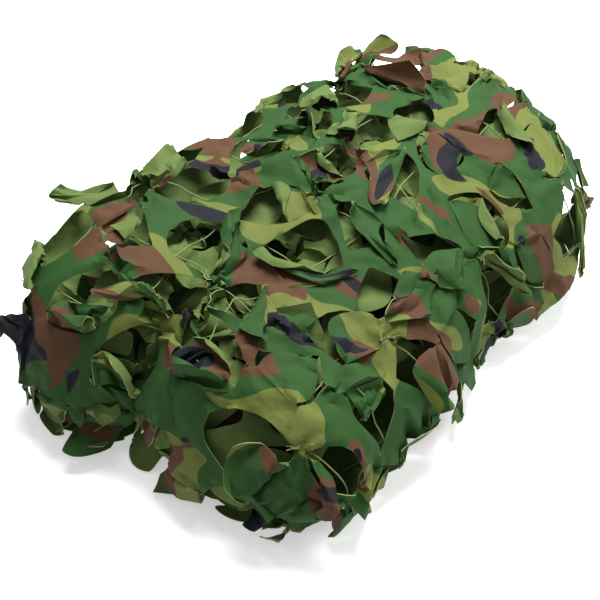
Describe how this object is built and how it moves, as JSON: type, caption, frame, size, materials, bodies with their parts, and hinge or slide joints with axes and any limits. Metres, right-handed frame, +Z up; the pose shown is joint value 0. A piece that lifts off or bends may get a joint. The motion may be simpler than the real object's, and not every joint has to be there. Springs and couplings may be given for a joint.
{
  "type": "folded camouflage net",
  "caption": "Leaf-cut camouflage net folded back and forth into a soft loaf, with its string support mesh under the top layer.",
  "frame": {"origin": "centre of the footprint at the underside that rests on the floor", "axes": "+X along the long side, from the two-lobed end to the rounded end; +Y across it, from the closed fold to the open fold; +Z up through the layers"},
  "size_m": [0.633, 0.409, 0.1717],
  "materials": {
    "camouflage_cloth": "thin matt polyester, printed in four woodland colours, plain light green on the reverse",
    "mesh_string": "dark green knotted string"
  },
  "bodies": {
    "root": {"net_cloth": "camouflage_cloth", "mesh_cords": "mesh_string"}
  },
  "joints": []
}
